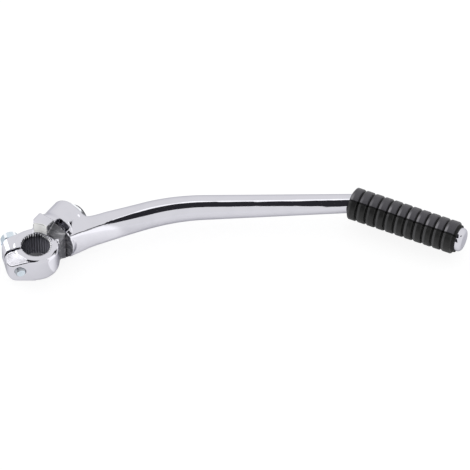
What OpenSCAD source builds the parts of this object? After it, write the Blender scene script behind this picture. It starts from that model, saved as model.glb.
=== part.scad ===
// Folding kick start lever: splined clamp knuckle, forged arm on a fold pivot, ribbed foot grip.
// Origin at the middle of the spline bore, +Z along the bore away from the engine,
// +X along the folded lever. The lever is modelled folded, on its stop.

/* [Spline clamp] */
// Radius over the spline crests in the bore
spline_r = 8; // [7:0.1:8.5]
// Depth of the spline grooves
spline_depth = 0.4; // [0.2:0.05:0.6]
// Number of spline teeth
spline_teeth = 36; // [24:1:44]
// Outer radius of the clamp ring
ring_r = 13; // [12:0.1:14.5]
// Height of the clamp ring along the bore
ring_h = 16.6; // [15:0.1:19]
// Radius of the flat machined rim around the bore
rim_r = 11.1; // [10:0.1:11.6]
// Forging radius around the lower edge of the ring
ring_edge_r = 2.6; // [1:0.1:3.5]
// Direction of the slit, turned from +X about +Z
clamp_turn = 195; // [180:1:215]
// Reach of the pinch lugs from the bore centre
lug_reach = 18.5; // [17.6:0.1:21]
// Corner radius of the lugs seen along the bore
lug_corner_r = 4.6; // [3:0.1:5.5]
// Radius that rounds the top and bottom of the lug end
lug_end_r = 5; // [2:0.1:7]
// Width of the slit
slit_w = 1.5; // [1:0.1:2.5]
// Height lost at the low corner of the front lug
relief_drop = 3; // [2:0.1:6]

/* [Pinch bolt] */
// Radius of the bolt thread
bolt_r = 3; // [2.5:0.1:3.2]
// Radial clearance of the bolt in the back lug
bolt_clear = 0.1; // [0.1:0.05:0.2]
// Distance of the bolt from the bore centre
bolt_dist = 11.6; // [11.6:0.1:12.6]
// Width of the hexagon head across its flats
hex_af = 10; // [9:0.1:11]
// Height of the hexagon head
hex_h = 4; // [3:0.1:5]
// Distance of the washer seat on the back lug from the slit's middle
seat_dist = 9.4; // [8:0.1:9.7]
// Distance of the bolt's tip from the slit's middle
tip_dist = 11.5; // [10.5:0.1:13]
// Outer radius of both washers
washer_r = 5.6; // [5:0.1:6]
// Thickness of the flat washer
flat_washer_t = 1.2; // [0.8:0.1:1.6]
// Thickness of the spring washer
spring_washer_t = 1.5; // [1:0.1:2]

/* [Fold pivot] */
// Direction of the pivot, turned from +X about +Z
hinge_turn = 54; // [45:1:62]
// Distance of the pivot face from the bore centre
face_dist = 15.2; // [14.4:0.1:17]
// Radius of the knuckle's pivot flange
flange_r = 14.2; // [13.4:0.1:15]
// Radius lost from the pivot face back to the flange's near side
flange_taper = 3.4; // [1:0.1:4]
// Half width between the flats on the flange
flange_flat = 9.4; // [8.8:0.1:10.5]
// Distance of the flange's near side from the bore centre
flange_back = 9; // [8.7:0.1:10]
// Height of the raised lug on the flange above the pivot
horn_top = 15.9; // [15:0.1:17]
// Side of the raised lug that faces the arm, from the pivot
horn_side = -1.3; // [-3:0.1:1]
// Radius about the bore to which the raised lug is hollowed
horn_bore_r = 8.9; // [8.8:0.1:9.6]
// Radius of the raised lug's outer top corner
horn_corner_r = 2.5; // [1:0.1:4]
// Radius of the pivot post
post_r = 6; // [5.4:0.1:6.4]
// Radial running clearance on the post
post_clear = 0.05; // [0.03:0.01:0.1]
// Gap between the knuckle's and the arm's pivot faces
face_gap = 0.3; // [0.2:0.05:0.5]
// Angle through which the arm unfolds
fold_swing = 90; // [60:5:100]

/* [Detent and stop] */
// Radius of the detent ball
ball_r = 2.25; // [2:0.05:2.4]
// Distance of the detent ball from the pivot axis
ball_ring = 9.3; // [9.1:0.1:9.4]
// Depth to which the ball enters the knuckle
ball_bite = 0.8; // [0.5:0.1:1]
// Clearance around the ball
ball_clear = 0.1; // [0.05:0.05:0.2]
// Depth of the ball's hole in the arm
ball_hole_h = 11; // [10:0.5:13]
// Wire radius of the detent spring
spring_wire_r = 0.3; // [0.2:0.05:0.35]
// Turns of the detent spring
spring_turns = 5; // [4:1:6]
// Radial size of the stop peg
stop_r = 1.5; // [1.2:0.1:1.7]
// Length of the stop peg beyond the knuckle's face
stop_h = 3.6; // [2:0.1:4.5]
// Angle of the stop peg around the pivot
stop_at = 34; // [25:1:45]

/* [Arm head] */
// Radius of the barrel around the post
barrel_r = 12.6; // [12.2:0.1:13.2]
// Length of the barrel beyond the pivot face
barrel_h = 18.4; // [16:0.1:20]
// Radius of the boss on the barrel's far end
boss_r = 10; // [9.2:0.1:10.8]
// Height of the boss on the barrel's far end
boss_h = 0.8; // [0.5:0.1:2.5]
// Start angle of the notch in the barrel's rim
notch_from = 95; // [90:1:105]
// End angle of the notch in the barrel's rim
notch_to = 131; // [120:1:136]
// Depth of the notch along the pivot
notch_h = 4.6; // [4:0.1:6]
// Radius to which the notch is cut
notch_r = 8.6; // [8.3:0.1:9.5]

/* [Arm bar] */
// X of the bar's start, inside the barrel
bar_x = 13.7; // [12:0.1:16]
// Y of the bar's start, inside the barrel
bar_y = 11.9; // [10.5:0.1:13.5]
// Slope of the first straight
slope_1 = 19.5; // [17:0.1:22]
// Length from the start to the corner of the first bend
leg_1 = 67; // [59:0.5:79]
// Radius of the first bend
bend_1 = 110; // [60:1:130]
// Slope of the second straight
slope_2 = 2.1; // [0:0.1:4]
// Length between the corners of the two bends
leg_2 = 101; // [90:0.5:115]
// Radius of the second bend
bend_2 = 7; // [6.5:0.1:12]
// Slope of the grip
slope_3 = -24.4; // [-30:0.1:-15]
// Height of the bar at the barrel
root_h = 17; // [14:0.1:20]
// Width of the bar at the barrel
root_w = 11.4; // [10:0.1:14]
// Radius of the front edges at the barrel
front_edge_r = 1.2; // [0.8:0.1:3]
// Radius of the back edges at the barrel
back_edge_r = 3.4; // [2.5:0.1:5.5]
// Length over which the bar turns round
blend_l = 54; // [39:1:64]
// Extra width of the front face at the bar's start
heel_w = 3; // [1:0.1:4]
// Length over which the extra width runs out
heel_l = 26; // [20:1:35]
// Radius of the hollow between the barrel and the bar
crotch_r = 14; // [8:0.5:18]
// Bar radius where it has turned round
bar_r_1 = 7.6; // [6.8:0.1:8.2]
// Bar radius at the grip
bar_r_2 = 5.5; // [5:0.1:6]

/* [Grip] */
// Ribs on the rubber grip
ribs = 11; // [7:1:14]
// Pitch of the ribs
rib_pitch = 5.74; // [5:0.01:6.2]
// Radius over the ribs
rib_r = 9.4; // [8.6:0.1:10]
// Radius of the groove floor
groove_r = 8.0; // [7:0.1:8.2]
// Width of the groove floor
groove_w = 0.7; // [0.5:0.1:1.6]
// Start of the rubber from the bend's corner
grip_start = -1; // [-1.2:0.1:1]
// Clearance of the rubber on the bar
grip_clear = 0.05; // [0.03:0.01:0.1]
// Radius of the end button
button_r = 6.8; // [6.2:0.1:7.4]
// Thickness of the end button
button_t = 5.4; // [4:0.1:7]

/* [Hardware on the post] */
// Outer radius of the thrust washer
thrust_r = 9; // [8.5:0.1:9.8]
// Thickness of the thrust washer
thrust_t = 1.2; // [0.8:0.1:1.6]
// Thickness of the circlip
clip_t = 1.2; // [1:0.1:1.5]
// Outer radius of the circlip
clip_r = 7.8; // [7.2:0.1:8.4]
// Depth of the circlip groove in the post
clip_groove = 0.8; // [0.5:0.1:1]
// Opening angle of the circlip
clip_open = 50; // [35:1:70]

/* [Hidden] */
$fn = 64;
eps = 0.02;
far = 60;
arm_face = face_dist + face_gap;
barrel_end = arm_face + barrel_h;
boss_end = barrel_end + boss_h;
washer_gap = 0.1;
washer_room = 0.5;
thrust_at = boss_end + washer_gap;
clip_at = thrust_at + thrust_t + washer_gap;
clip_slack = 0.05;
clip_inner = post_r - clip_groove + clip_slack;
post_end = clip_at + clip_t + 2;
button_edge_r = 2.2;
chrome = [0.80, 0.81, 0.84];
zinc = [0.74, 0.80, 0.86];
spring_steel = [0.35, 0.35, 0.37];
rubber = [0.10, 0.10, 0.11];

// Points on an arc about c from angle a0 to a1
function arc(c, r, a0, a1, n = 6) =
    [for (i = [0:n]) c + r * [cos(a0 + (a1 - a0) * i / n), sin(a0 + (a1 - a0) * i / n)]];

// Unit vector at an angle
function unit(a) = [cos(a), sin(a)];

// Value that eases from a to b as u goes from 0 to 1
function ease(a, b, u) = let (k = max(0, min(1, u))) a + (b - a) * k * k * (3 - 2 * k);

// Frame with z along the pivot, x across it and y up, its origin at distance t from the bore
module on_hinge(t = 0) {
    rotate([0, 0, hinge_turn]) translate([t, 0, 0]) rotate([90, 0, 90]) children();
}

// Frame with x along the slit and y along the pinch bolt, z up
module on_clamp() {
    rotate([0, 0, clamp_turn]) children();
}

// Frame with z along the pinch bolt, b from the slit's middle
module on_bolt(b = 0) {
    on_clamp() translate([bolt_dist, b, 0]) rotate([-90, 0, 0]) children();
}

// Sector of a ring between two radii and two angles
module ring_sector(r_in, r_out, a0, a1, h) {
    rotate([0, 0, a0]) rotate_extrude(angle = a1 - a0)
        polygon([[r_in, 0], [r_out, 0], [r_out, h], [r_in, h]]);
}

/* Clamp */

// Ring with a flat rim on top, a shoulder outside it and a round lower edge
module clamp_ring() {
    half = ring_h / 2;
    shoulder = ring_r - rim_r;
    rotate_extrude() polygon(concat(
        [[0, -half]],
        arc([ring_r - ring_edge_r, -half + ring_edge_r], ring_edge_r, -90, 0),
        arc([rim_r, half - shoulder], shoulder, 0, 90),
        [[0, half]]));
}

// Outline of ring and lugs along the bore: tangents from the ring to round corners
module lug_outline() {
    root_r = ring_r - 0.15;
    corner = [lug_reach - lug_corner_r, lug_corner_r + 0.2];
    a = atan2(corner[1], corner[0]) + acos((root_r - lug_corner_r) / norm(corner));
    polygon(concat(
        [[0, 0], root_r * unit(a)],
        arc(corner, lug_corner_r, a, 0),
        arc([corner[0], -corner[1]], lug_corner_r, 0, -a),
        [root_r * unit(-a)]));
}

// Side view of the lugs, with the end rounded above and below
module lug_side() {
    half = ring_h / 2 - 0.6;
    x = lug_reach - lug_end_r;
    polygon(concat(
        [[0, -half]],
        arc([x, -half + lug_end_r], lug_end_r, -90, 0),
        arc([x, half - lug_end_r], lug_end_r, 0, 90),
        [[0, half]]));
}

module pinch_lugs() {
    on_clamp() intersection() {
        translate([0, 0, -ring_h]) linear_extrude(2 * ring_h) lug_outline();
        translate([0, far / 2, 0]) rotate([90, 0, 0]) linear_extrude(far) lug_side();
    }
}

// Low corner of the front lug: a slope that falls away from the bore's rim
module lug_relief() {
    relief_turn = 36;
    slope = atan2(relief_drop, ring_r - rim_r + 3);
    on_clamp() intersection() {
        rotate([0, 0, relief_turn]) translate([rim_r, 0, ring_h / 2])
            rotate([0, slope, 0]) translate([0, -far / 2, 0]) cube([far, far, far]);
        translate([-far / 2, 0, -far / 2]) cube([far, far, far]);
    }
}

// Bore with spline grooves: the crests stay true parts of a cylinder
module spline_cut() {
    pitch = 360 / spline_teeth;
    major = spline_r + spline_depth;
    root = spline_r - 0.55 * spline_depth;
    lead = 0.5;
    translate([0, 0, -far / 2]) cylinder(r = spline_r, h = far);
    translate([0, 0, -far / 2]) linear_extrude(far) polygon([for (i = [0:spline_teeth - 1], k = [0, 1])
        (k == 0 ? major : root) * unit((i + k / 2) * pitch)]);
    for (side = [0, 1]) mirror([0, 0, side]) translate([0, 0, ring_h / 2 - lead])
        cylinder(r1 = spline_r, r2 = spline_r + lead + 0.1, h = lead + 0.1);
}

/* Knuckle */

// Flange about the pivot, flat on two sides, with the raised lug on its top corner
module pivot_flange() {
    h = face_dist - flange_back;
    on_hinge(flange_back) intersection() {
        cylinder(r1 = flange_r - flange_taper, r2 = flange_r, h = h);
        translate([-flange_flat, -far / 2, -1]) cube([2 * flange_flat, far, h + 2]);
    }
}

// Raised lug: rounded at its outer top corner, slanted towards the ring and hollowed about the bore
module horn() {
    near = 6;
    slant = flange_back + 1.2;
    corner = [flange_flat - horn_corner_r, horn_top - horn_corner_r];
    difference() {
        intersection() {
            on_hinge(0) linear_extrude(face_dist) polygon(concat(
                [[horn_side, 0], [flange_flat, 0]],
                arc(corner, horn_corner_r, 0, 90),
                [[horn_side, horn_top]]));
            rotate([0, 0, hinge_turn]) linear_extrude(far) polygon([
                [face_dist + 1, horn_side - 1], [face_dist + 1, flange_flat + 1],
                [slant, flange_flat + 0.05], [near, near], [near, horn_side - 1]]);
        }
        cylinder(r = horn_bore_r, h = far);
    }
}

// Solid stretch between the ring and the flange
module neck() {
    neck_half = flange_flat;
    on_hinge(0) translate([-neck_half, 0.6 - ring_h / 2, 0])
        cube([2 * neck_half, ring_h - 1.2, flange_back + 1]);
}

// Post with a chamfered end and the circlip groove
module post() {
    tip = 1;
    on_hinge(0) rotate_extrude() polygon([
        [0, face_dist - 2], [post_r, face_dist - 2],
        [post_r, clip_at - clip_slack], [post_r - clip_groove, clip_at - clip_slack],
        [post_r - clip_groove, clip_at + clip_t + clip_slack], [post_r, clip_at + clip_t + clip_slack],
        [post_r, post_end - tip], [post_r - tip, post_end], [0, post_end]]);
}

module knuckle() {
    color(chrome) {
        difference() {
            union() {
                clamp_ring();
                pinch_lugs();
                neck();
                pivot_flange();
                horn();
            }
            lug_relief();
            spline_cut();
            on_clamp() translate([0, -slit_w / 2, -far / 2]) cube([far, slit_w, far]);
            on_bolt(-far) cylinder(r = bolt_r + bolt_clear, h = far);
            on_bolt(-1) cylinder(r = bolt_r, h = far);
            on_bolt(-far) cylinder(r = washer_r + 0.4, h = far - seat_dist);
            on_hinge(face_dist) detent_track();
        }
        post();
        on_hinge(face_dist - 1) rotate([0, 0, stop_at]) translate([ball_ring, 0, 0])
            cylinder(r = stop_r, h = stop_h + 1);
    }
}

/* Detent */

ball_centre = ball_r - ball_bite;
ball_rest = -45;

// Groove in the knuckle's face that the ball runs in, with a round seat at each end
module detent_track() {
    groove_r_ball = ball_r + ball_clear;
    seat_extra = 0.12;
    rotate([0, 0, ball_rest - fold_swing]) rotate_extrude(angle = fold_swing)
        translate([ball_ring, ball_centre]) circle(r = groove_r_ball);
    for (a = [ball_rest, ball_rest - fold_swing]) rotate([0, 0, a])
        translate([ball_ring, 0, ball_centre]) sphere(r = groove_r_ball + seat_extra);
}

module detent_ball() {
    color(spring_steel) on_hinge(face_dist) rotate([0, 0, ball_rest])
        translate([ball_ring, 0, ball_centre]) sphere(r = ball_r);
}

// Round wire wound about z: rings of points along a helix, joined by triangles
module coil(r, wire, height, turns, sides = 8, steps = 18) {
    n = turns * steps;
    rise = (height - 2 * wire) / n;
    points = [for (i = [0:n], j = [0:sides - 1])
        let (a = 360 * i / steps, b = 360 * j / sides, q = r + wire * cos(b))
        [q * cos(a), q * sin(a), wire + rise * i + wire * sin(b)]];
    skin = [for (i = [0:n - 1], j = [0:sides - 1], k = [0, 1])
        let (p = i * sides + j, q = i * sides + (j + 1) % sides)
        k == 0 ? [p, q, p + sides] : [q, q + sides, p + sides]];
    first = [for (j = [sides - 1:-1:0]) j];
    last = [for (j = [0:sides - 1]) n * sides + j];
    polyhedron(points, concat([first], skin, [last]));
}

module detent_spring() {
    play = 0.1;
    coil_r = ball_r - play - spring_wire_r;
    reach = ball_r + spring_wire_r + play;
    start = ball_centre + sqrt(reach * reach - coil_r * coil_r) - spring_wire_r;
    stop = ball_hole_h + face_gap - play;
    color(spring_steel) on_hinge(face_dist) rotate([0, 0, ball_rest]) translate([ball_ring, 0, start])
        coil(coil_r, spring_wire_r, stop - start, spring_turns);
}

/* Arm */

// Barrel about the post: a rim at the pivot face, a waist and a boss at the far end
module barrel() {
    face_cut = 2;
    rim_h = 2.6;
    waist_at = 7.5;
    edge = 1;
    on_hinge(arm_face) rotate_extrude() polygon(concat(
        [[0, -face_cut], [flange_r, -face_cut]],
        arc([flange_r - edge / 2, rim_h], edge / 2, 0, 45, 3),
        [[barrel_r + 0.15, waist_at - 1.5], [barrel_r, waist_at]],
        arc([barrel_r - edge, barrel_h - edge], edge, 0, 90, 5),
        [[boss_r, barrel_h], [boss_r, barrel_h + boss_h - 0.4], [boss_r - 0.4, barrel_h + boss_h],
            [0, barrel_h + boss_h]]));
}

// Hollow run from the barrel's side on to the bar's top and bottom
module crotch() {
    level = root_h / 2 - 0.3;
    centre_z = level + crotch_r;
    centre_x = sqrt(pow(barrel_r + crotch_r, 2) - pow(centre_z, 2));
    touch = atan2(centre_z, centre_x);
    outline = concat(
        [[-1, 0], [-centre_x, 0], [-centre_x, level]],
        arc([-centre_x, centre_z], crotch_r, -90, -touch, 8),
        [[-1, (barrel_r - 1) * sin(touch)]]);
    inner = 4;
    for (side = [0, 1]) mirror([0, 0, side]) intersection() {
        on_hinge(arm_face - 2) linear_extrude(barrel_h + 1.8) polygon(outline);
        linear_extrude(far) polygon([
            inner_point(inner, 0), heel_point(2), heel_point(6), heel_point(12), heel_point(20),
            heel_point(30), inner_point(inner, 30)]);
    }
}

// Points on the bar's front line and on its middle, at length s
function heel_point(s) = start_point + s * unit(slope_1) + (front_half(s) - 0.4) * unit(slope_1 - 90);
function inner_point(w, s) = start_point + s * unit(slope_1) + w * unit(slope_1 + 90);

// The bar's centre line: straight, bend, straight, bend, with s the length from the start
start_point = [bar_x, bar_y];
corner_1 = start_point + leg_1 * unit(slope_1);
corner_2 = corner_1 + leg_2 * unit(slope_2);
tangent_1 = bend_1 * tan((slope_1 - slope_2) / 2);
tangent_2 = bend_2 * tan((slope_2 - slope_3) / 2);
centre_1 = corner_1 - tangent_1 * unit(slope_1) + bend_1 * unit(slope_1 - 90);
centre_2 = corner_2 - tangent_2 * unit(slope_2) + bend_2 * unit(slope_2 - 90);

// Each station is [x, y, slope, length from the start]
bend_steps_1 = 12;
bend_steps_2 = 8;
straight_1 = leg_1 - tangent_1;
straight_2 = leg_2 - tangent_1 - tangent_2;
bend_length_1 = bend_1 * (slope_1 - slope_2) * PI / 180;
function on_bend(c, r, a) = c + r * unit(a + 90);
stations = concat(
    [for (i = [0:9]) let (s = straight_1 * i / 10, p = start_point + s * unit(slope_1))
        [p[0], p[1], slope_1, s]],
    [for (i = [0:bend_steps_1]) let (a = slope_1 + (slope_2 - slope_1) * i / bend_steps_1,
            p = on_bend(centre_1, bend_1, a))
        [p[0], p[1], a, straight_1 + bend_length_1 * i / bend_steps_1]],
    [for (i = [1:7]) let (s = straight_2 * i / 8, p = corner_1 + (tangent_1 + s) * unit(slope_2))
        [p[0], p[1], slope_2, straight_1 + bend_length_1 + s]],
    [for (i = [0:bend_steps_2]) let (a = slope_2 + (slope_3 - slope_2) * i / bend_steps_2,
            p = on_bend(centre_2, bend_2, a))
        [p[0], p[1], a, straight_1 + bend_length_1 + straight_2]]);
bar_length = straight_1 + bend_length_1 + straight_2;

// Section at length s: a box with sharper front edges that turns into a circle, and ends just inside the peg
peg_step = 0.12;
function bar_radius(s) =
    bar_r_1 + (bar_r_2 - peg_step - bar_r_1) * max(0, s - blend_l) / (bar_length - blend_l);
function front_half(s) = ease(root_w / 2, bar_radius(s), s / blend_l)
    + heel_w * pow(max(0, 1 - s / heel_l), 2);
function section(s) = let (
    r = bar_radius(s),
    u = s / blend_l,
    w = ease(root_w / 2, r, u),
    h = ease(root_h / 2, r, u),
    f = front_half(s),
    front = min(ease(front_edge_r, r, u), w),
    back = min(ease(back_edge_r, r, u), w))
    concat(
        arc([w - back, h - back], back, 0, 90, 7),
        arc([-f + front, h - front], front, 90, 180, 7),
        arc([-f + front, -h + front], front, 180, 270, 7),
        arc([w - back, -h + back], back, 270, 360, 7));
function station_ring(q) = [for (p = section(q[3]))
    [q[0] - p[0] * sin(q[2]), q[1] + p[0] * cos(q[2]), p[1]]];

// Loft through the stations
module bar() {
    rings = [for (q = stations) station_ring(q)];
    n = len(rings);
    m = len(rings[0]);
    points = [for (ring = rings, p = ring) p];
    skin = [for (i = [0:n - 2], j = [0:m - 1], k = [0, 1])
        let (a = i * m + j, b = i * m + (j + 1) % m)
        k == 0 ? [a, a + m, b] : [b, a + m, b + m]];
    first = [for (j = [0:m - 1]) j];
    last = [for (j = [m - 1:-1:0]) (n - 1) * m + j];
    polyhedron(points, concat([first], skin, [last]));
}

// Frame with z along the grip and its origin at the second bend's corner
module on_grip(d = 0) {
    translate([corner_2[0], corner_2[1], 0]) rotate([0, 90, slope_3]) translate([0, 0, d]) children();
}

grip_l = ribs * rib_pitch;
grip_end = grip_start + grip_l;

// Round end of the bar inside the rubber, with the button that keeps the rubber on
module foot_peg() {
    on_grip(0) rotate_extrude() polygon(concat(
        [[0, tangent_2 - 0.2], [bar_r_2, tangent_2 - 0.2], [bar_r_2, grip_end + grip_clear],
            [button_r, grip_end + grip_clear]],
        arc([button_r - button_edge_r, grip_end + button_t - button_edge_r], button_edge_r, 0, 90),
        [[0, grip_end + button_t]]));
}

module arm() {
    color(chrome) difference() {
        union() {
            barrel();
            crotch();
            bar();
            foot_peg();
        }
        on_hinge(boss_end) cylinder(r = thrust_r + washer_room, h = far);
        on_hinge(0) cylinder(r = post_r + post_clear, h = far);
        on_hinge(arm_face - far) cylinder(r = far, h = far);
        on_hinge(arm_face - 1) ring_sector(notch_r, far / 2, notch_from, notch_to, notch_h + 1);
        on_hinge(arm_face - 1) stop_slot();
        on_hinge(arm_face - 1) rotate([0, 0, ball_rest]) translate([ball_ring, 0, 0])
            cylinder(r = ball_r + ball_clear, h = ball_hole_h + 1);
    }
}

// Arc slot for the stop peg: it touches one end folded and the other end unfolded
module stop_slot() {
    slot_r = stop_r + 0.15;
    end_room = 0.06;
    slot_h = stop_h - face_gap + 1.5;
    ring_sector(ball_ring - slot_r, ball_ring + slot_r, stop_at, stop_at + fold_swing, slot_h);
    for (a = [stop_at, stop_at + fold_swing]) rotate([0, 0, a]) translate([ball_ring, 0, 0])
        cylinder(r = slot_r + end_room, h = slot_h);
}

/* Grip */

// One rib's outline: up from the groove, over a rounded crest and down again
function rib_outline(z) = let (
    edge = 0.9,
    a = z + groove_w / 2 + 0.35,
    b = z + rib_pitch - groove_w / 2 - 0.35)
    concat(
        [[groove_r, z + groove_w / 2]],
        arc([rib_r - edge, a + edge], edge, -80, 0, 4),
        arc([rib_r - edge, b - edge], edge, 0, 80, 4),
        [[groove_r, z + rib_pitch - groove_w / 2]]);

module grip() {
    bore = bar_r_2 + grip_clear;
    mouth_h = 2.4;
    color(rubber) on_grip(grip_start) rotate_extrude() polygon(concat(
        [[bore + 0.5, 0], [groove_r, 0]],
        [for (i = [0:ribs - 1], p = rib_outline(i * rib_pitch)) p],
        [[groove_r, grip_l], [bore, grip_l], [bore, mouth_h], [bore + 0.5, mouth_h - 0.5]]));
}

/* Fasteners */

module pinch_bolt() {
    head_at = seat_dist + flat_washer_t + spring_washer_t;
    corner = hex_af / 2 / cos(30);
    tip = 0.7;
    color(zinc) {
        on_bolt(-head_at - hex_h) intersection() {
            cylinder(r = corner, h = hex_h, $fn = 6);
            rotate_extrude() polygon([[0, 0], [hex_af / 2 - 0.2, 0], [corner + 0.1, 0.9],
                [corner + 0.1, hex_h], [0, hex_h]]);
        }
        on_bolt(-head_at - eps) rotate_extrude() polygon([[0, 0], [bolt_r - eps, 0],
            [bolt_r - eps, head_at + tip_dist - tip + eps], [bolt_r - tip, head_at + tip_dist + eps],
            [0, head_at + tip_dist + eps]]);
    }
}

module flat_washer() {
    color(zinc) on_bolt(-seat_dist - flat_washer_t) difference() {
        cylinder(r = washer_r, h = flat_washer_t);
        translate([0, 0, -1]) cylinder(r = bolt_r + bolt_clear, h = 3);
    }
}

// Split ring, cut on a slant
module spring_washer() {
    cut_w = 0.8;
    color(zinc) on_bolt(-seat_dist - flat_washer_t - spring_washer_t) difference() {
        cylinder(r = washer_r - 0.6, h = spring_washer_t);
        translate([0, 0, -1]) cylinder(r = bolt_r + bolt_clear, h = 4);
        rotate([0, 20, 0]) translate([-cut_w / 2, 0, -5]) cube([cut_w, far, 10]);
    }
}

module thrust_washer() {
    color(zinc) on_hinge(thrust_at) difference() {
        cylinder(r = thrust_r, h = thrust_t);
        translate([0, 0, -1]) cylinder(r = post_r + 0.15, h = 4);
    }
}

// Open ring in the post's groove
module circlip() {
    color(spring_steel) on_hinge(clip_at)
        ring_sector(clip_inner, clip_r, 90 + clip_open / 2, 450 - clip_open / 2, clip_t);
}

knuckle();
arm();
grip();
pinch_bolt();
flat_washer();
spring_washer();
thrust_washer();
circlip();
detent_ball();
detent_spring();
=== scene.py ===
"""Folding kick start lever lying on a pale table under soft studio light.

The chromed forgings are softened copies of the knuckle and the arm, the bolt gets its thread and the
rubber grip its ribs and seams. Every finish is worked out from the place on the piece.
"""
import math

import bmesh
import bpy
import numpy as np
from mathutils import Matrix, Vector


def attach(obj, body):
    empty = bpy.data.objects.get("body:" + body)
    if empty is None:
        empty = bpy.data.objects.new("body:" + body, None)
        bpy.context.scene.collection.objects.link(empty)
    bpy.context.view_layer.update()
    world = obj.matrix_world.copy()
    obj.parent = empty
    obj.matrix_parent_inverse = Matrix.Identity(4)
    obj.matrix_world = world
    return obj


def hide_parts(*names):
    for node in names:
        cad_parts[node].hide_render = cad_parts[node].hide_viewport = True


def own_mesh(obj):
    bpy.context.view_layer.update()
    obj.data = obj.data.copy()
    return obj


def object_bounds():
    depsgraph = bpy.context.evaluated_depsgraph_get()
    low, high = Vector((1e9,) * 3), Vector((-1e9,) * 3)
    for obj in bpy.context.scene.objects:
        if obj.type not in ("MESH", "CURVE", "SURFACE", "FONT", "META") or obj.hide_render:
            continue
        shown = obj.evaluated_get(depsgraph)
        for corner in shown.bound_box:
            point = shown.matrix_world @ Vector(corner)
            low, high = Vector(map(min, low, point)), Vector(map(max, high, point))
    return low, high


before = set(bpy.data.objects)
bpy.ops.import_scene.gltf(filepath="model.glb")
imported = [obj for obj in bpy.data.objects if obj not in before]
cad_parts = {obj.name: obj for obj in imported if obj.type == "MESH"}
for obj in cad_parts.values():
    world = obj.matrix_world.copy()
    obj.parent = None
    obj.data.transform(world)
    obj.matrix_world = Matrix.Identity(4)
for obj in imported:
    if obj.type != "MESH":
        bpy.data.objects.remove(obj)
cad_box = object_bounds()
MM = 0.001

# The pivot leans 54 degrees from +X, and the slit of the clamp points 195 degrees from +X.
PIVOT_TURN = math.radians(54)
SLIT_TURN = math.radians(195)
PIVOT = np.array([math.cos(PIVOT_TURN), math.sin(PIVOT_TURN), 0.0])
PIVOT_SIDE = np.array([-math.sin(PIVOT_TURN), math.cos(PIVOT_TURN), 0.0])
SLIT = np.array([math.cos(SLIT_TURN), math.sin(SLIT_TURN), 0.0])
BOLT = np.array([-math.sin(SLIT_TURN), math.cos(SLIT_TURN), 0.0])
UP = np.array([0.0, 0.0, 1.0])
GRIP_SLOPE = math.radians(-24.4)
GRIP = np.array([math.cos(GRIP_SLOPE), math.sin(GRIP_SLOPE), 0.0])
GRIP_SIDE = np.array([-math.sin(GRIP_SLOPE), math.cos(GRIP_SLOPE), 0.0])
GRIP_CORNER = np.array([177.789, 37.966, 0.0]) * MM

# Sizes that both the shapes and the finishes use, in millimetres: the bolt's distance from the bore's axis
# and the seat of its head, the grip's start beyond the bend's corner and the pitch of its ribs, and the
# radius to which the forging's own bore is opened, behind its crisp teeth.
BOLT_DISTANCE, BOLT_SEAT = 11.6, -12.1
GRIP_START, RIB_PITCH = -1.0, 5.74
BORE_SKIN, TEETH = 8.75, 36

# Angles of the two mould seams round the grip, from its side towards the top
SEAMS = (math.radians(122), math.radians(302))


# ---- Surfaces ----

def new_object(name, data):
    """New object in the scene over a mesh, a lamp or a camera."""
    thing = bpy.data.objects.new(name, data)
    bpy.context.scene.collection.objects.link(thing)
    return thing


def points_of(mesh):
    """Places of a mesh's vertices: rows of three numbers in metres."""
    points = np.empty(len(mesh.vertices) * 3)
    mesh.vertices.foreach_get("co", points)
    return points.reshape(-1, 3)


def skin(name, rings, loop=False):
    """Mesh over rings[i, j]: quads join each ring to the next and each ring closes on itself. The ends
    close at the mean of the first and last ring, or the last ring joins the first if loop is set."""
    rows, around = rings.shape[:2]
    at = np.arange(rows * around).reshape(rows, around)
    turn = np.roll(at, -1, axis=1)
    quads = np.stack([at, turn, np.roll(turn, -1, axis=0), np.roll(at, -1, axis=0)], axis=-1)
    points = rings.reshape(-1, 3)
    if loop:
        faces = quads.reshape(-1, 4).tolist()
    else:
        faces = quads[:-1].reshape(-1, 4).tolist()
        first, last = np.full(around, rows * around), np.full(around, rows * around + 1)
        points = np.vstack([points, rings[0].mean(axis=0), rings[-1].mean(axis=0)])
        faces += np.stack([first, turn[0], at[0]], axis=-1).tolist()
        faces += np.stack([last, at[-1], turn[-1]], axis=-1).tolist()
    mesh = bpy.data.meshes.new(name)
    mesh.from_pydata(points.tolist(), [], faces)
    mesh.shade_smooth()
    return mesh


def wrap(name, rings, body, loop=False):
    """New piece with the skin over its rings, riding on a body."""
    piece = new_object(name, skin(name, rings, loop))
    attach(piece, body)
    return piece


def round_profile(profile, step):
    """Points along a polyline of (place, radius) pairs, no further apart than step."""
    profile = np.array(profile, dtype=float)
    gap = np.linalg.norm(np.diff(profile, axis=0), axis=1)
    counts = np.maximum(1, np.ceil(gap / step)).astype(int)
    parts = [np.linspace(a, b, n, endpoint=False) for a, b, n in zip(profile[:-1], profile[1:], counts)]
    return np.vstack(parts + [profile[-1:]])


def corner(centre, radius, start, end):
    """Six points on an arc of a profile, from angle start to angle end in degrees."""
    angle = np.radians(np.linspace(start, end, 6))
    arc = np.array(centre) + radius * np.stack([np.cos(angle), np.sin(angle)], axis=-1)
    return arc.tolist()


def ramp(value, low, high):
    """0 below low, 1 above high, with a smooth rise between."""
    u = np.clip((value - low) / (high - low), 0, 1)
    return u * u * (3 - 2 * u)


# How far a point goes towards the mean of its neighbours in one pass: forwards and back where edges are
# turned round, so that the forging keeps its size, and forwards alone where surfaces run together
SOFTEN, GIVE_BACK = 0.55, -0.57
FLOW, FLOW_PASSES = 0.6, 90


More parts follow.
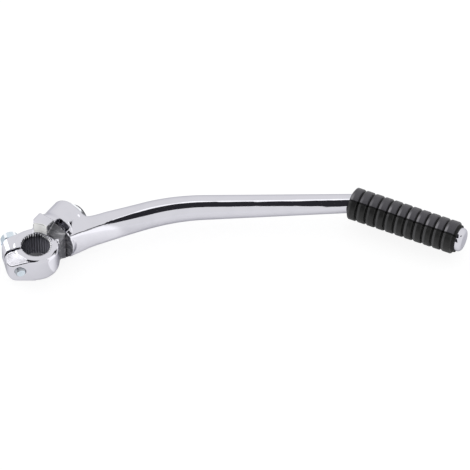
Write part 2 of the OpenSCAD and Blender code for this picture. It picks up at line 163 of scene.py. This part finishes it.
def merged_copy(node, name):
    """Copy of a CAD node whose loose triangles are joined."""
    piece = new_object(name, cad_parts[node].data.copy())
    shell = bmesh.new()
    shell.from_mesh(piece.data)
    bmesh.ops.remove_doubles(shell, verts=shell.verts, dist=1e-6)
    shell.to_mesh(piece.data)
    shell.free()
    return piece


def forged(node, name, body, voxel, passes, sharp, flow=None):
    """Softened copy of a CAD node: its triangles are merged, remeshed on a fine grid, and smoothed by the
    given passes wherever the function sharp of the points is 0, so its edges turn round like a forging's.
    Where the function flow is 1, more passes that give nothing back let the surfaces run together."""
    piece = merged_copy(node, name)
    grid = piece.modifiers.new("grid", "REMESH")
    grid.mode, grid.voxel_size, grid.adaptivity = "VOXEL", voxel, 0.0
    view = bpy.context.evaluated_depsgraph_get()
    piece.data = bpy.data.meshes.new_from_object(piece.evaluated_get(view))
    piece.modifiers.clear()
    points = points_of(piece.data)
    count = len(points)
    edges = np.empty(len(piece.data.edges) * 2, dtype=int)
    piece.data.edges.foreach_get("vertices", edges)
    a, b = edges.reshape(-1, 2).T
    soft = (1 - sharp(points))[:, None]
    links = np.bincount(edges, minlength=count)[:, None]
    steps = [(soft, SOFTEN), (soft, GIVE_BACK)] * passes
    if flow is not None:
        steps = [(flow(points)[:, None], FLOW)] * FLOW_PASSES + steps
    for share, weight in steps:
        total = np.stack([np.bincount(np.r_[a, b], np.r_[points[b, k], points[a, k]], count)
                          for k in range(3)], axis=-1)
        points = points + weight * share * (total / links - points)
    piece.data.vertices.foreach_set("co", points.ravel())
    piece.data.update()
    piece.data.shade_smooth()
    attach(piece, body)
    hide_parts(node)
    return piece


def keep_bore(points):
    """1 round the splined bore, out to a radius of 8.9 mm, where the edges stay crisp."""
    radius = np.hypot(points[:, 0], points[:, 1]) / MM
    return 1 - ramp(radius, 8.9, 9.4)


def keep_none(points):
    """0 everywhere: the whole forging is softened."""
    return np.zeros(len(points))


def arm_flow(points):
    """1 about the far corner between the barrel and the bar, and 0 close to the pivot's hole and washer."""
    corner_x, corner_y = 28.0, 21.5
    away = np.hypot(points[:, 0] / MM - corner_x, points[:, 1] / MM - corner_y)
    from_pivot = np.linalg.norm(np.cross(points, PIVOT), axis=1) / MM
    return (1 - ramp(away, 6.0, 13.0)) * ramp(from_pivot, 10.2, 11.6)


def spline_sleeve():
    """Crisp serrations of the bore, from one wall of the slit round to the other. At each angle the inner
    radius is the larger of the crest and a V groove that is deepest at every tooth's edge, and a lead-in
    opens it at both ends; the outer radius stays inside the ring."""
    crest, root, deep, outer = 8.0, 7.78, 8.4, 8.95
    half, lead, half_slit = 8.3, 0.5, 0.75
    gap = math.asin(half_slit / crest)
    turn = np.linspace(SLIT_TURN + gap, SLIT_TURN + 2 * np.pi - gap, TEETH * 10)
    share = np.abs((turn * TEETH / (2 * np.pi)) % 1.0 * 2 - 1)
    groove = np.maximum(crest, root + (deep - root) * share)
    heights = np.r_[-half, np.linspace(lead - half, half - lead, 5), half]
    opened = np.full(len(heights), crest)
    opened[[0, -1]] += lead + 0.05
    inner = np.maximum(groove[:, None], opened)
    back = np.array([[BORE_SKIN, half - 0.01], [outer, half - 0.1],
                     [outer, 0.1 - half], [BORE_SKIN, 0.01 - half]])
    radius = np.hstack([inner, np.tile(back[:, 0], (len(turn), 1))])
    height = np.tile(np.r_[heights, back[:, 1]], (len(turn), 1))
    rings = np.stack([radius * np.cos(turn)[:, None], radius * np.sin(turn)[:, None], height], axis=-1)
    return skin("spline_sleeve", rings[:, ::-1] * MM)


def crisp_bore(piece):
    """Opens the softened bore to a plain cylinder and lays the crisp serrations into it."""
    points = points_of(piece.data)
    radius = np.hypot(points[:, 0], points[:, 1])
    grow = np.where(radius < BORE_SKIN * MM, BORE_SKIN * MM / np.maximum(radius, MM), 1.0)
    points[:, :2] *= grow[:, None]
    piece.data.vertices.foreach_set("co", points.ravel())
    joined = bmesh.new()
    joined.from_mesh(piece.data)
    joined.from_mesh(spline_sleeve())
    joined.to_mesh(piece.data)
    joined.free()
    piece.data.shade_smooth()


knuckle = forged("knuckle", "knuckle_forging", "clamp", 0.30 * MM, 6, keep_bore)
crisp_bore(knuckle)
arm = forged("arm", "arm_forging", "lever", 0.42 * MM, 10, keep_none, arm_flow)


def threaded_bolt():
    """Hexagon bolt round the line of the bolt: at place b its radius is the least of the thread, the
    hexagon and the chamfers. The thread's radius falls from crest to root and back once per pitch, and
    its phase turns with the angle, so the ridge climbs as a helix."""
    pitch, crest, root, across = 1.0, 2.98, 2.5, 10.0
    top, seat, plain_end, tip = -16.1, BOLT_SEAT, 5.0, 11.5
    face, tip_face, chamfer = 4.75, 2.35, 1.1
    place = np.r_[np.linspace(top, top + 0.9, 8), np.linspace(top + 1, seat, 6), seat + 0.01,
                  np.linspace(seat + 0.1, plain_end, 12), np.linspace(plain_end + 0.05, tip - 0.02, 90), tip]
    angle = np.linspace(0, 2 * np.pi, 144, endpoint=False)
    b, turn = np.meshgrid(place, angle, indexing="ij")
    facet = (turn + np.pi / 6) % (np.pi / 3) - np.pi / 6
    hexagon = across / 2 / np.cos(np.pi / 6 - np.abs(facet))
    head = np.minimum(hexagon, face + chamfer * np.clip(b - top, 0, 1))
    wave = np.abs((b / pitch - turn / (2 * np.pi)) % 1.0 * 2 - 1)
    thread = root + (crest - root) * np.clip(wave * 1.25 - 0.1, 0, 1)
    shank = np.where(b < plain_end - 0.1, crest, thread)
    shank = np.minimum(shank, tip_face + (tip - b) * chamfer)
    radius = np.where(b <= seat + 1e-6, head, shank) * MM
    centre = SLIT * BOLT_DISTANCE * MM
    rings = (centre + BOLT * (b * MM)[..., None]
             + SLIT * (radius * np.cos(turn))[..., None] - UP * (radius * np.sin(turn))[..., None])
    bolt = wrap("pinch_bolt_threaded", rings, "clamp")
    bolt.data.set_sharp_from_angle(angle=math.radians(24))
    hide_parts("pinch_bolt")
    return bolt


def ribbed_grip():
    """Rubber sleeve round the foot peg: a closed profile of ribs carried round the grip's line. The last
    rib is wider, and a thin collar behind it laps over the button. Two fine seams run along opposite
    sides, where the halves of the mould met."""
    ribs, crest, floor, width, slope, edge = 11, 9.29, 8.0, 0.6, 0.2, 0.85
    bore, button, collar, wider = 5.6, 6.95, 1.9, 0.9
    seam_depth, seam_turn = 0.35, 0.036
    profile = [(3.0, bore), (0.4, bore + 0.4), (0.0, bore + 0.9), (0.0, floor - 0.3), (0.15, floor)]
    for rib in range(ribs):
        near = rib * RIB_PITCH + width / 2
        far = (rib + 1) * RIB_PITCH - width / 2 + (wider if rib == ribs - 1 else 0.0)
        profile += [(near, floor)]
        profile += corner((near + slope + edge, crest - edge), edge, 170, 90)
        profile += corner((far - slope - edge, crest - edge), edge, 90, 10)
        profile += [(far, floor)]
    length = ribs * RIB_PITCH
    profile += [(length + collar, floor - 0.1), (length + collar, button), (length, button),
                (length, bore + 0.2), (length - 0.5, bore)]
    profile = round_profile(profile, 0.45)
    angle = np.linspace(0, 2 * np.pi, 240, endpoint=False)
    place, turn = np.meshgrid(profile[:, 0], angle, indexing="ij")
    radius = np.repeat(profile[:, 1:2], len(angle), axis=1)
    outside = ramp(radius, 7.0, 7.9)
    for seam in SEAMS:
        away = (turn - seam + np.pi) % (2 * np.pi) - np.pi
        radius = radius - outside * seam_depth * np.exp(-(away / seam_turn) ** 2)
    rings = (GRIP_CORNER + GRIP * ((place + GRIP_START) * MM)[..., None]
             + GRIP_SIDE * (radius * MM * np.cos(turn))[..., None]
             + UP * (radius * MM * np.sin(turn))[..., None])
    grip = wrap("rubber_grip", rings, "lever", loop=True)
    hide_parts("grip")
    return grip


def pressed_spring():
    """Copy of the detent's coil, joined and smoothed, riding on the lever."""
    spring = merged_copy("detent_spring", "detent_coil")
    spring.data.shade_smooth()
    reach = points_of(spring.data) @ PIVOT
    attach(spring, "lever")
    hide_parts("detent_spring")
    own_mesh(spring)
    return spring


bolt = threaded_bolt()
grip = ribbed_grip()
spring = pressed_spring()


# ---- Finishes ----

class Wire:
    """One number in a material. Arithmetic on it adds the Math nodes that work it out."""

    def __init__(self, net, socket):
        self.net, self.socket = net, socket

    def apply(self, operation, *values):
        """Wire out of a Math node fed with the values in order."""
        return self.net.add("ShaderNodeMath", {"operation": operation}, values)

    def __add__(self, other):
        return self.apply("ADD", self, other)

    def __sub__(self, other):
        return self.apply("SUBTRACT", self, other)

    def __rsub__(self, other):
        return self.apply("SUBTRACT", other, self)

    def __mul__(self, other):
        return self.apply("MULTIPLY", self, other)

    def __truediv__(self, other):
        return self.apply("DIVIDE", self, other)

    def __pow__(self, other):
        return self.apply("POWER", self, other)

    __radd__, __rmul__ = __add__, __mul__

    def abs(self):
        """Size of the number without its sign."""
        return self.apply("ABSOLUTE", self)

    def sine(self):
        """Sine of the number in radians."""
        return self.apply("SINE", self)

    def angle(self, other):
        """Angle in radians of the point whose sine side is this number and whose cosine side the other."""
        return self.apply("ARCTAN2", self, other)

    def fraction(self):
        """What is left of the number above the next lower whole number."""
        return self.apply("FRACT", self)

    def least(self, other):
        """The smaller of two numbers."""
        return self.apply("MINIMUM", self, other)

    def most(self, other):
        """The larger of two numbers."""
        return self.apply("MAXIMUM", self, other)

    def rise(self, low, high):
        """0 below low and 1 above high, with a smooth rise between; it falls if low is above high."""
        kind = {"interpolation_type": "SMOOTHSTEP"}
        if low > high:
            return 1 - self.rise(high, low)
        ends = {"Value": self, "From Min": low, "From Max": high}
        return self.net.add("ShaderNodeMapRange", kind, ends, "Result")


class Finish:
    """A material that is built up node by node, with one Principled surface at its end."""

    def __init__(self, name):
        self.material = bpy.data.materials.new(name)
        self.material.use_nodes = True
        self.tree = self.material.node_tree
        self.tree.nodes.clear()
        self.place = self.add("ShaderNodeTexCoord", {}, {}, "Object")

    def add(self, kind, settings, inputs, output=0):
        """Wire out of a new node of that kind, its settings made first and its sockets fed or linked next."""
        node = self.tree.nodes.new(kind)
        for key, value in settings.items():
            setattr(node, key, value)
        pairs = inputs.items() if isinstance(inputs, dict) else enumerate(inputs)
        for key, value in pairs:
            if isinstance(value, Wire):
                self.tree.links.new(value.socket, node.inputs[key])
            else:
                node.inputs[key].default_value = value
        return Wire(self, node.outputs[output])

    def axes(self):
        """The place's three numbers, in metres."""
        return [self.add("ShaderNodeSeparateXYZ", {}, [self.place], k) for k in range(3)]

    def along(self, direction, origin=(0, 0, 0)):
        """Distance of the place along a direction from an origin, in millimetres."""
        moved = self.add("ShaderNodeVectorMath", {"operation": "SUBTRACT"}, [self.place, tuple(origin)])
        return self.add("ShaderNodeVectorMath", {"operation": "DOT_PRODUCT"},
                        [moved, tuple(np.array(direction) / MM)], "Value")

    def noise(self, size, detail=2.0, rough=0.5, stretch=(1, 1, 1), turn=0.0):
        """Cloudy value about 0.5 whose lumps are size millimetres across, stretched along the axes."""
        spot = self.add("ShaderNodeMapping", {}, {"Vector": self.place, "Rotation": (0, 0, turn),
                                                  "Scale": tuple(1 / np.array(stretch, dtype=float))})
        return self.add("ShaderNodeTexNoise", {}, {"Vector": spot, "Scale": 1000 / size, "Detail": detail,
                                                   "Roughness": rough}, "Fac")

    def blend(self, first, second, share):
        """Colour that goes from first to second with the share."""
        node = self.tree.nodes.new("ShaderNodeMix")
        node.data_type = "RGBA"
        for socket, value in ((node.inputs[0], share), (node.inputs[6], first), (node.inputs[7], second)):
            if isinstance(value, Wire):
                self.tree.links.new(value.socket, socket)
            else:
                socket.default_value = value if np.isscalar(value) else (*value, 1)
        return Wire(self, node.outputs[2])

    def bump(self, height, depth, under=None):
        """Normal that follows a height between 0 and 1, depth millimetres deep."""
        inputs = {"Height": height, "Distance": depth * MM, "Strength": 1.0}
        if under is not None:
            inputs["Normal"] = under
        return self.add("ShaderNodeBump", {}, inputs)

    def lean(self, height, depth, share, under):
        """Normal that leans down the slope of a height, depth millimetres to each unit, by a share."""
        inputs = {"Height": height, "Distance": depth * MM, "Strength": share, "Normal": under}
        return self.add("ShaderNodeBump", {}, inputs)

    def surface(self, **inputs):
        """Ends the material in a Principled surface; names are its sockets with _ for a space."""
        fed = {key.replace("_", " "): value for key, value in inputs.items()}
        end = self.add("ShaderNodeBsdfPrincipled", {}, fed)
        self.close(end)
        return self.material

    def close(self, end):
        """Links the last shader to the material's output."""
        output = self.tree.nodes.new("ShaderNodeOutputMaterial")
        self.tree.links.new(end.socket, output.inputs["Surface"])


# Colours of the plate seen straight on and at a flat angle
CHROME = (0.66, 0.655, 0.705)
CHROME_EDGE = (0.60, 0.60, 0.63, 1)


def clamp_hollow_and_bore_shade(f, tone, rough, normal):
    """Adds what only the clamp has to a finish: the satin hollow of the raised lug, whose wall seems to lean
    outwards, and the bore, painted dark as shade among its teeth, with a painted highlight on their cut upper
    ends."""
    x, y, z = f.axes()
    radius = ((x * x + y * y) ** 0.5) / MM
    height = z / MM
    hollow = radius.rise(9.5, 9.25) * height.rise(8.6, 8.9)
    tone = f.blend(tone, (0.86, 0.86, 0.85), hollow)
    rough = rough * (1 - hollow) + hollow * 0.42
    normal = f.lean((15.9 - height) / 7.6, 3.6, hollow, normal)
    # Painted shade: the bore is toned nearly black inside, darker between the teeth.
    bored = radius.rise(BORE_SKIN, 8.6) * height.abs().rise(8.25, 8.1)
    tooth = (y.angle(x) * TEETH).sine() * 0.5 + 0.5
    # Painted highlight: the cut upper ends of the teeth are toned nearly white.
    painted_tip_highlight = height.rise(5.6, 7.4) * (tooth.rise(0.2, 0.7) * f.noise(2.2, 2).rise(0.35, 0.55))
    painted_bore_shade = f.blend((0.045, 0.045, 0.053), (0.25, 0.25, 0.285), tooth)
    tone = f.blend(tone, f.blend(painted_bore_shade, (0.85, 0.85, 0.87), painted_tip_highlight), bored)
    rough = rough * (1 - bored) + bored * 0.34
    return tone, rough, f.lean(9.0 - height, 1.1, painted_tip_highlight * bored, normal)


def chrome(name, raw_and_shaded, extras=None):
    """Chrome plate over a polished forging: slightly wavy, with fine pits and a haze in patches. Where the
    mask from the second argument is 1 the polishing wheel never reached: the metal is rough with a grain
    along the pivot, its tone is painted nearly black as shade where the pieces meet, and painted highlights
    lie on it as pale streaks along the pivot."""
    f = Finish(name)
    haze = f.noise(9, 3).rise(0.45, 0.75)
    pits = f.noise(0.8, 2, 0.6).rise(0.66, 0.74)
    tone = f.blend(CHROME, (0.60, 0.60, 0.65), haze * 0.35)
    rough = 0.05 + haze * 0.05 + pits * 0.12
    normal = f.bump(f.noise(1.6, 2), 0.004, f.bump(f.noise(11, 1.0), 0.10))
    if extras is not None:
        tone, rough, normal = extras(f, tone, rough, normal)
    bare_and_shaded = raw_and_shaded(f)
    grain = f.noise(1.4, 4, 0.7, stretch=(3.0, 0.7, 0.7), turn=-PIVOT_TURN)
    # Painted highlights: pale streaks along the pivot, mixed into the raw tone below.
    painted_highlight_streak = f.noise(2.6, 3, 0.6, stretch=(4.0, 0.8, 0.8), turn=-PIVOT_TURN).rise(0.52, 0.66)
    # Painted shade: the raw places are toned from nearly black to grey, darker than bare metal, as shade
    # between the knuckle and the arm.
    dull_and_shaded = f.blend((0.06, 0.06, 0.065), (0.30, 0.30, 0.32), grain)
    dull_and_shaded = f.blend(dull_and_shaded, (0.55, 0.55, 0.57), painted_highlight_streak * 0.6)
    tone = f.blend(tone, dull_and_shaded, bare_and_shaded)
    rough = rough * (1 - bare_and_shaded) + (0.34 + grain * 0.2) * bare_and_shaded
    normal = f.bump(grain * bare_and_shaded, 0.16, normal)
    return f.surface(Base_Color=tone, Metallic=1.0, Roughness=rough, Normal=normal,
                     Specular_Tint=CHROME_EDGE)


def knuckle_raw_and_shaded(f):
    """1 on the neck, the flange and the raised lug's wall that face the arm, and on the pivot face: raw
    metal, painted dark as shade where it meets the arm.
    """
    side, out = f.along(PIVOT_SIDE), f.along(PIVOT)
    x, y, z = f.axes()
    radius = ((x * x + y * y) ** 0.5) / MM
    wobble = (f.noise(3, 2) - 0.5) * 0.5
    outside = radius.rise(13.05, 13.35).most((z / MM).rise(8.5, 8.8))
    neck = (side + wobble).rise(-0.6, -1.1) * out.rise(6.0, 7.0) * outside
    face = out.rise(14.9, 15.1)
    return neck.most(face)


def arm_raw_and_shaded(f):
    """1 on the arm's pivot face and on the near part of its rim: raw metal, painted dark as shade where it
    meets the knuckle.
    """
    return f.along(PIVOT).rise(15.75, 15.6)


def zinc():
    """Blue passivated zinc: bright and a little cloudy, with painted shade on the bolt's thread and on the
    flats of its head that don't face up, and a painted highlight on the corners of the head."""
    f = Finish("blue_zinc")
    cloud = f.noise(3, 3)
    tone = f.blend((0.58, 0.66, 0.73), (0.74, 0.81, 0.87), cloud)
    slit, up, bolt_line = f.along(SLIT, SLIT * BOLT_DISTANCE * MM), f.along(UP), f.along(BOLT)
    radius = (slit * slit + up * up) ** 0.5
    # Painted shade: the thread is toned darker.
    thread = radius.rise(2.35, 2.5) * radius.rise(3.0, 2.9) * bolt_line.rise(9.0, 9.2)
    tone = f.blend(tone, (0.36, 0.38, 0.41), thread)
    head = bolt_line.rise(BOLT_SEAT, BOLT_SEAT - 0.1)
    # Painted shade: the flats of the head that don't face up are toned darker.
    painted_flank_shade = head * radius.rise(4.7, 4.95) * up.rise(4.9, 4.6)
    tone = f.blend(tone, (0.40, 0.47, 0.53), painted_flank_shade * 0.75)
    # Painted highlight: the corners of the head are toned nearly white.
    painted_corner_highlight = head * radius.rise(5.25, 5.5)
    tone = f.blend(tone, (0.95, 0.97, 1.0), painted_corner_highlight)
    return f.surface(Base_Color=tone, Metallic=1.0, Roughness=0.16 + cloud * 0.16,
                     Normal=f.bump(f.noise(0.5, 3), 0.01))


def spring_steel():
    """Dark oiled spring steel with brighter rubbed patches."""
    f = Finish("oiled_spring_steel")
    rub = f.noise(1.5, 3).rise(0.5, 0.75)
    return f.surface(Base_Color=f.blend((0.12, 0.12, 0.13), (0.42, 0.42, 0.44), rub), Metallic=1.0,
                     Roughness=0.30 + rub * 0.12, Normal=f.bump(f.noise(0.4, 2), 0.008))


def black_rubber():
    """Matt moulded rubber with a fine grain and a little dust. The grooves and the seams are painted dark as
    shade, the lower half is painted darker as shade, and a painted highlight lies as a pale strip at each
    rib's near edge by the seam. The metallic share takes the sheen out of the painted seam shade, which would
    hide it."""
    f = Finish("moulded_rubber")
    side, up = f.along(GRIP_SIDE, GRIP_CORNER), f.along(UP)
    radius = (side * side + up * up) ** 0.5
    crest = radius.rise(8.05, 8.6)
    across = GRIP_SIDE * math.cos(SEAMS[0] + math.pi / 2) + UP * math.sin(SEAMS[0] + math.pi / 2)
    front = f.along(across, GRIP_CORNER)
    seam = front.abs().rise(0.75, 0.35)
    dust = f.noise(5, 4, 0.6)
    grain = f.noise(0.35, 3, 0.6)
    # Painted shade: the lower half of the grip, where this is 1, is toned darker.
    lower = front.rise(-0.3, 0.5)
    tone = f.blend((0.056, 0.054, 0.062), (0.010, 0.010, 0.010), lower)
    tone = f.blend(tone, (0.055, 0.055, 0.058), dust.rise(0.55, 0.8) * 0.25)
    place = f.along(GRIP, GRIP_CORNER)
    rib = ((place - GRIP_START) / RIB_PITCH).fraction()
    # Painted highlight: a pale strip at each rib's near edge, on the upper half by the seam.
    strip = rib.rise(0.10, 0.17) * rib.rise(0.42, 0.30)
    strength = place.rise(0, 40) * 0.6 + 0.25 + f.noise(7, 2).rise(0.4, 0.6) * 0.4
    painted_rib_highlight = (strip * front.rise(-6.0, -2.0) * strength).least(1.0)
    tone = f.blend(tone, f.blend((0.21, 0.205, 0.22), (0.050, 0.050, 0.052), lower), painted_rib_highlight)
    # Painted shade: the grooves below the crests are toned nearly black.
    tone = f.blend((0.004, 0.004, 0.004), tone, crest)
    # Painted shade along the seams: toned nearly black, with a metallic share that takes out their sheen.
    tone = f.blend(tone, (0.004, 0.004, 0.004), seam * 0.85)
    return f.surface(Base_Color=tone, Metallic=seam * 0.6, Specular_IOR_Level=0.3,
                     Roughness=0.34 + grain * 0.15 + (1 - crest) * 0.2,
                     Normal=f.bump(grain, 0.02, f.bump(dust, 0.1)))


def dress(piece, material):
    """Gives a piece one material in place of what it had."""
    piece.data.materials.clear()
    piece.data.materials.append(material)


dress(knuckle, chrome("chrome_knuckle", knuckle_raw_and_shaded, clamp_hollow_and_bore_shade))
dress(arm, chrome("chrome_arm", arm_raw_and_shaded))
plate = zinc()
dress(bolt, plate)
steel = spring_steel()
dress(grip, black_rubber())
dress(spring, steel)
for node, finish in (("flat_washer", plate), ("spring_washer", plate), ("thrust_washer", plate),
                     ("circlip", steel), ("detent_ball", steel)):
    dress(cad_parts[node], finish)


# ---- Studio ----

# Height of the wide cards and the y from which the black ones' elevations are counted, the height of the
# narrow cards, and how far the table lies under the lever, all in metres
CARD_HEIGHT, FROM_Y = 1.0, 0.03
RIBBON_HEIGHT = 0.04
TABLE_GAP = 0.0002

# Height of the view, the bar's radius, and its centre line: x and y in millimetres and slope in degrees
RISE = math.radians(49)
BAR_RADIUS = 7 * MM
BAR = np.array([[13.7, 11.9, 19.5], [61.0, 28.65, 19.5], [77.1, 33.05, 10.8], [93.7, 34.9, 2.1],
                [178, 38.0, 2.1]])


def sheet(name, corners, faces=((0, 1, 2, 3),)):
    """Card over its corners, four-sided if no faces are given, for the studio and not part of the lever."""
    mesh = bpy.data.meshes.new(name)
    mesh.from_pydata(corners, [], faces)
    card = new_object(name, mesh)
    return card


def level(name, low_y, high_y, low_x, high_x, height):
    """Sheet parallel to the floor between two ys and two xs."""
    return sheet(name, [(low_x, low_y, height), (high_x, low_y, height), (high_x, high_y, height),
                        (low_x, high_y, height)])


def table_top():
    """Pale table: mostly its own white to the camera and to reflections, and the rest takes the shadow. Where
    the camera sees it through the bore a painted grey shadow lies on it, in an ellipse that fades out."""
    f = Finish("pale_table")
    pale = f.add("ShaderNodeBsdfDiffuse", {}, {"Color": (0.93, 0.93, 0.94, 1)})
    grey = f.add("ShaderNodeBsdfDiffuse", {}, {"Color": (0.16, 0.16, 0.17, 1)})
    glow = f.add("ShaderNodeEmission", {}, {"Color": (1, 1, 1, 1), "Strength": 1.06})
    seen = f.add("ShaderNodeLightPath", {}, {}, "Is Camera Ray")
    mirrored = f.add("ShaderNodeLightPath", {}, {}, "Is Glossy Ray")
    through = f.add("ShaderNodeLightPath", {}, {}, "Is Transmission Ray")
    open_air = f.add("ShaderNodeAmbientOcclusion", {"samples": 16}, {"Distance": 0.03}, "AO")
    # Painted shadow: a grey ellipse on the table where the camera looks through the bore.
    patch, half_x, half_y = (0, 12.35 * MM, 0), 4.9, 1.6
    from_x, from_y = f.along((1, 0, 0), patch) / half_x, f.along((0, 1, 0), patch) / half_y
    painted_shadow = ((from_x * from_x + from_y * from_y) ** 0.5).rise(2.2, 0.8)
    direct = seen * 0.80 * (1 - painted_shadow)
    indirect = (mirrored + through).least(1.0) * 0.45 * open_air.rise(0.5, 0.95)
    shade = f.add("ShaderNodeMixShader", {}, [painted_shadow, pale, grey])
    f.close(f.add("ShaderNodeMixShader", {}, [direct + indirect, shade, glow]))
    return f.material


def plain_card(name, tone, strength):
    """Finish of a card that sends out one even light."""
    f = Finish(name)
    f.close(f.add("ShaderNodeEmission", {}, {"Color": (*tone, 1), "Strength": strength}))
    return f.material


BLACK = plain_card("black_cloth", (0.03, 0.03, 0.035), 1.0)
LIT = plain_card("lit_card", (1, 1, 1), 1.6)


def unseen(card, finish):
    """Dresses a card that shows in reflections alone."""
    dress(card, finish)
    card.visible_camera = card.visible_diffuse = card.visible_shadow = card.visible_transmission = False


def flag(name, left, right):
    """Black card overhead. At its left and its right end, each an x with two elevations, it hides the sky
    between the elevations, counted in degrees from -Y over the top."""
    ends = [[(x, FROM_Y - CARD_HEIGHT / math.tan(math.radians(elevation)), CARD_HEIGHT)
             for elevation in pair] for x, *pair in (left, right)]
    unseen(sheet(name, [ends[0][0], ends[1][0], ends[1][1], ends[0][1]]), BLACK)


def ribbon(name, stations, finish):
    """Narrow card above the bar. Each station is an x on the bar, in millimetres, with two angles: the
    card's edges lie where the view, mirrored in the bar at those angles above the front, reaches the
    card's height."""
    x, low, high = np.array(stations, dtype=float).T
    slope = np.radians(np.interp(x, BAR[:, 0], BAR[:, 2]))
    flat = np.zeros_like(x)
    along = np.stack([np.cos(slope), np.sin(slope), flat], axis=-1)
    front = np.stack([np.sin(slope), -np.cos(slope), flat], axis=-1)
    centre = np.stack([x, np.interp(x, BAR[:, 0], BAR[:, 1]), flat], axis=-1) * MM
    look = np.array([0, math.cos(RISE), -math.sin(RISE)])
    # The mirror keeps the share of the view along the bar and turns the rest from one angle to the other.
    kept = along @ look
    seen = np.arctan2(math.sin(RISE), -(front @ look))
    edges = []
    for angle in np.radians([low, high]):
        tilt = (angle + seen) / 2
        normal = np.cos(tilt)[:, None] * front + np.sin(tilt)[:, None] * UP
        start = centre + normal * BAR_RADIUS
        ray = kept[:, None] * along + np.sqrt(1 - kept ** 2)[:, None] * (
            np.cos(angle)[:, None] * front + np.sin(angle)[:, None] * UP)
        edges.append(start + ray * ((RIBBON_HEIGHT - start[:, 2]) / ray[:, 2])[:, None])
    count = len(x)
    quads = [(k, k + 1, count + k + 1, count + k) for k in range(count - 1)]
    unseen(sheet(name, np.vstack(edges).tolist(), quads), finish)


def root_card(name, corners, strength):
    """White card by the bar's root that only shows in reflections. Its corners are given along the bar,
    out in front of it and up, and it fades out along the bar and towards it."""
    f = Finish(name)
    slope = math.radians(BAR[0, 2])
    start = np.append(BAR[0, :2], 0) * MM
    across = np.array([math.sin(slope), -math.cos(slope), 0])
    along = np.array([math.cos(slope), math.sin(slope), 0])
    share = f.along(across, start).rise(8, 26) * f.along(along, start).rise(40, 33)
    glow = f.add("ShaderNodeEmission", {}, {"Color": (1, 1, 1, 1), "Strength": strength})
    clear = f.add("ShaderNodeBsdfTransparent", {}, {})
    f.close(f.add("ShaderNodeMixShader", {}, [share, clear, glow]))
    card = [(start + along * u * MM + across * v * MM + UP * w * MM).tolist() for u, v, w in corners]
    unseen(sheet(name, card), f.material)


floor = level("table", -3, 3, -3, 3, cad_box[0].z - TABLE_GAP)
dress(floor, table_top())
flag("black_card_left", (-2.4, 15, 81), (-0.45, 15, 81))
flag("black_card_middle", (-0.44, 57, 99), (0.08, 57, 99))
flag("black_card_right", (0.65, 60, 74), (2.6, 60, 74))
ribbon("black_ribbon", [(12, 62, 98), (25, 66, 92), (32, 70, 86), (38, 72, 85), (39.5, 62, 95),
                        (41, 66, 90), (42.5, 58, 99), (44, 61, 95), (46, 53, 100), (91, 51, 100),
                        (125, 44, 93), (148, 38, 92), (164, 24, 92), (172, 14, 96), (190, 14, 96)], BLACK)
ground = cad_box[0].z / MM
root_card("root_card_low", [(-3, 8, ground), (42, 8, ground), (42, 32, ground), (-3, 32, ground)], 1.25)
root_card("root_card_front", [(-3, 32, ground), (42, 32, ground), (42, 32, 50), (-3, 32, 50)], 1.42)
unseen(level("white_card_left", -0.11, 0.25, -1.1, -0.5, CARD_HEIGHT), LIT)
ribbon("white_ribbon", [(44, 98, 104), (60, 101, 113), (91, 101.5, 114), (125, 94.5, 108),
                        (164, 92.5, 108), (190, 96.5, 110)], LIT)


def lamp(name, place, aim, size, radiance):
    """Soft rectangular lamp of a given brightness at a place, turned to aim."""
    data = bpy.data.lights.new(name, "AREA")
    data.shape, data.size, data.size_y = "RECTANGLE", size[0], size[1]
    data.energy = radiance * math.pi * size[0] * size[1]
    light = new_object(name, data)
    light.location = place
    light.rotation_mode = "QUATERNION"
    light.rotation_quaternion = (Vector(aim) - Vector(place)).to_track_quat("-Z", "Y")


lamp("side_light", (-1.1, 0.75, 0.9), (0.1, 0, 0), (0.9, 0.9), 1.3)

world = bpy.data.worlds.new("white_room")
bpy.context.scene.world = world
world.use_nodes = True
background = world.node_tree.nodes["Background"]
background.inputs["Color"].default_value = (1, 1, 1, 1)
background.inputs["Strength"].default_value = 1.0

# The photograph's frame is 263.2 mm wide round this point, seen from 49 degrees above the table.
AIM = Vector((0.11105, 0.01439, 0))
camera = new_object("camera", bpy.data.cameras.new("camera"))
camera.data.lens, camera.data.sensor_width = 600, 36
back = Vector((0, -math.cos(RISE), math.sin(RISE)))
camera.location = AIM + back * (0.2632 * camera.data.lens / camera.data.sensor_width)
camera.rotation_mode = "QUATERNION"
camera.rotation_quaternion = (-back).to_track_quat("-Z", "Y")
camera.data.clip_start, camera.data.clip_end = 0.01, 20
bpy.context.scene.camera = camera
bpy.context.scene.view_settings.view_transform = "Standard"
